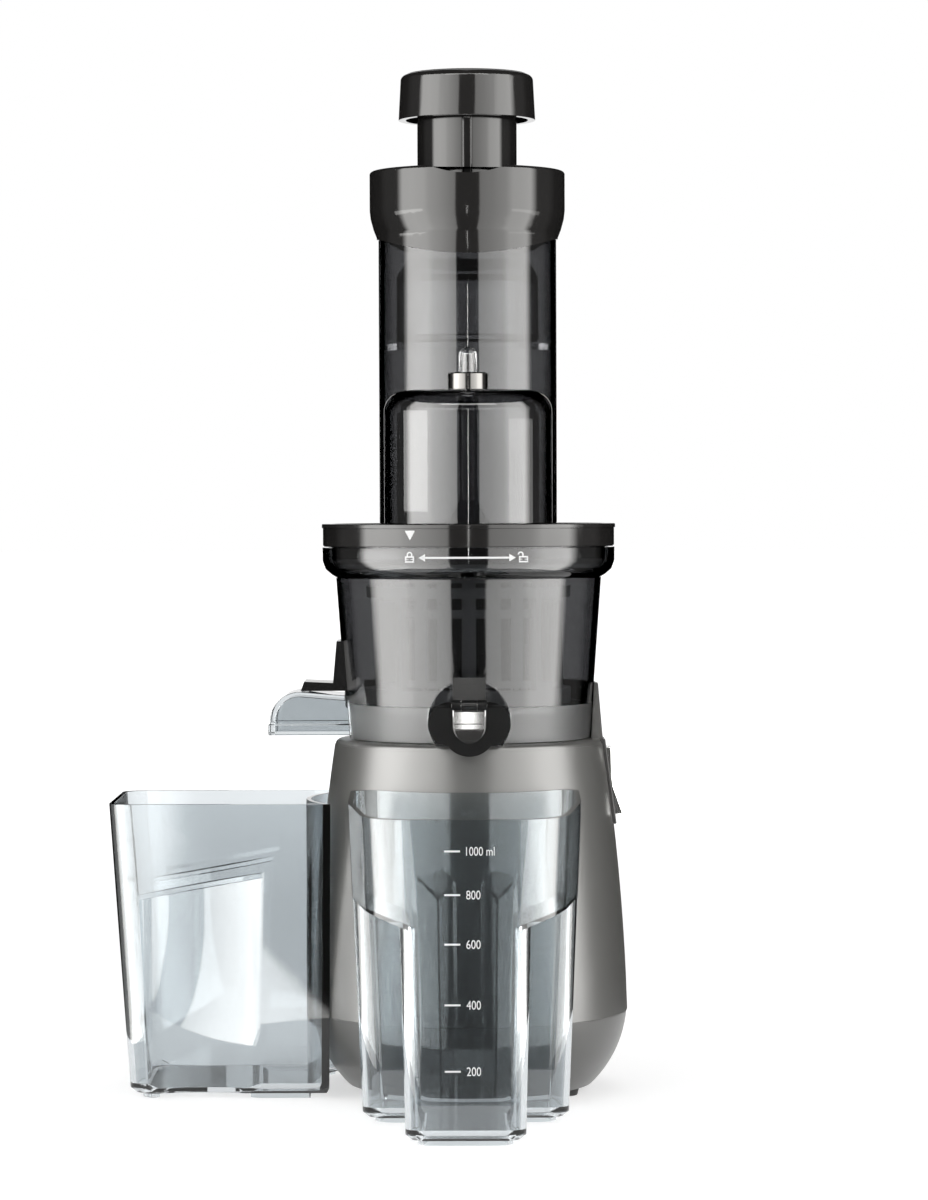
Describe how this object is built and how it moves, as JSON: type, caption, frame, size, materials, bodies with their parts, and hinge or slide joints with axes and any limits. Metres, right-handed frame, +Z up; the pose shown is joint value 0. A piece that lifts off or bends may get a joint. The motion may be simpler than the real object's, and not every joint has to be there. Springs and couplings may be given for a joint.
{
  "type": "cold press juicer",
  "caption": "Upright slow juicer: tapered motor base, smoked bowl with auger and strainer, hopper with wide feed chute and pusher, juice jug and pulp bin.",
  "frame": {"origin": "on the table under the drive axis, at the centre of the base", "axes": "+Z up along the drive axis, front (juice spout) towards -Y, +X to the right with the power switch"},
  "size_m": [0.241, 0.278, 0.4832],
  "materials": {
    "base_satin": "satin metallic",
    "taupe_gloss": "gloss",
    "black_gloss": "gloss",
    "black_plastic": "matte",
    "smoke_clear": "smoked transparent",
    "frosted_clear": "frosted",
    "pale_clear": "pale transparent",
    "clear": "clear",
    "dark_chrome": "dark chrome",
    "rocker": "bright",
    "rubber": "silicone",
    "strainer_plastic": "satin",
    "auger_plastic": "satin",
    "white_plastic": "satin",
    "steel": "brushed",
    "aluminium": "cast",
    "brass": "plain",
    "copper": "enamelled wire",
    "board": "solder mask"
  },
  "bodies": {
    "base": {"base_housing": "base_satin", "base_tray": "base_satin", "base_plate": "black_plastic", "feet": "rubber", "base_screws": "steel", "drive_seal": "rubber", "motor_can": "steel", "stator": "copper", "motor_bracket": "aluminium", "gearbox_case": "aluminium", "gearbox_lid": "aluminium", "gear_pin": "steel", "output_bearing": "brass", "switch_bezel": "black_plastic", "switch_body": "black_plastic", "power_board": "board", "cord_gland": "rubber"},
    "drive": {"drive_shaft": "steel", "output_gear": "white_plastic"},
    "compound": {"compound_gear": "white_plastic"},
    "motor": {"rotor": "steel", "motor_pinion": "steel", "cooling_fan": "black_plastic"},
    "rocker": {"switch_rocker": "rocker"},
    "bowl": {"juicing_bowl": "smoke_clear", "bowl_foot_ring": "frosted_clear", "bowl_seal": "rubber", "spout_bracket": "black_gloss", "cap_hinge_pin": "steel", "pulp_chute": "pale_clear", "pulp_hood": "black_gloss", "pulp_packing": "rubber", "idler_pin": "steel", "strainer_frame": "strainer_plastic", "strainer_mesh": "steel"},
    "idler": {"idler_gear": "white_plastic"},
    "wiper": {"wiper_frame": "strainer_plastic", "wiper_blades": "rubber"},
    "press": {"auger": "auger_plastic"},
    "cap": {"spout_cap": "black_plastic", "spout_seal": "rubber", "cap_tab": "taupe_gloss"},
    "lid": {"lid_plate": "smoke_clear", "hopper": "smoke_clear", "lid_ring": "taupe_gloss", "lid_gasket": "rubber", "pivot_boss": "dark_chrome", "pivot_cap": "clear", "pivot_core": "black_plastic", "chute_collar": "taupe_gloss"},
    "pusher": {"pusher_cap": "taupe_gloss", "pusher_body": "taupe_gloss"},
    "jug": {"juice_jug": "pale_clear"},
    "bin": {"pulp_bin": "pale_clear"}
  },
  "joints": [
    {"name": "drive_spin", "type": "hinge", "parent": "base", "child": "drive", "pos_m": [0, 0, 0.12], "axis": [0, 0, 1], "continuous": true},
    {"name": "compound_spin", "type": "hinge", "parent": "base", "child": "compound", "pos_m": [0, 0.0288, 0.09], "axis": [0, 0, 1], "continuous": true},
    {"name": "motor_spin", "type": "hinge", "parent": "base", "child": "motor", "pos_m": [0, 0, 0.05], "axis": [0, 0, 1], "continuous": true},
    {"name": "rocker_tilt", "type": "hinge", "parent": "base", "child": "rocker", "pos_m": [0.0628, 0, 0.1447], "axis": [0, 1, 0], "range_deg": [-12, 12]},
    {"name": "bowl_lift", "type": "slide", "parent": "base", "child": "bowl", "axis": [0, 0, 1], "range_m": [0, 0.12]},
    {"name": "auger_spin", "type": "hinge", "parent": "bowl", "child": "press", "pos_m": [0, 0, 0.2], "axis": [0, 0, 1], "continuous": true},
    {"name": "idler_spin", "type": "hinge", "parent": "bowl", "child": "idler", "pos_m": [0, 0.03, 0.186], "axis": [0, 0, 1], "continuous": true},
    {"name": "wiper_spin", "type": "hinge", "parent": "bowl", "child": "wiper", "pos_m": [0, 0, 0.2], "axis": [0, 0, 1], "continuous": true},
    {"name": "cap_flip", "type": "hinge", "parent": "bowl", "child": "cap", "pos_m": [0, -0.0794, 0.1845], "axis": [-1, 0, 0], "range_deg": [0, 95]},
    {"name": "lid_turn", "type": "hinge", "parent": "bowl", "child": "lid", "pos_m": [0, 0, 0.26], "axis": [0, 0, 1], "range_deg": [0, 45]},
    {"name": "pusher_slide", "type": "slide", "parent": "lid", "child": "pusher", "axis": [0, 0, 1], "range_m": [0, 0.08]},
    {"name": "jug_slide", "type": "slide", "parent": "base", "child": "jug", "axis": [0, -1, 0], "range_m": [0, 0.15]},
    {"name": "bin_slide", "type": "slide", "parent": "base", "child": "bin", "axis": [-1, 0, 0], "range_m": [0, 0.15]}
  ],
  "couplings": [
    {"joint": "compound_spin", "follows": "drive_spin", "ratio": -5},
    {"joint": "motor_spin", "follows": "drive_spin", "ratio": 25},
    {"joint": "auger_spin", "follows": "drive_spin", "ratio": 1},
    {"joint": "idler_spin", "follows": "drive_spin", "ratio": -1.5},
    {"joint": "wiper_spin", "follows": "drive_spin", "ratio": -0.42857}
  ]
}
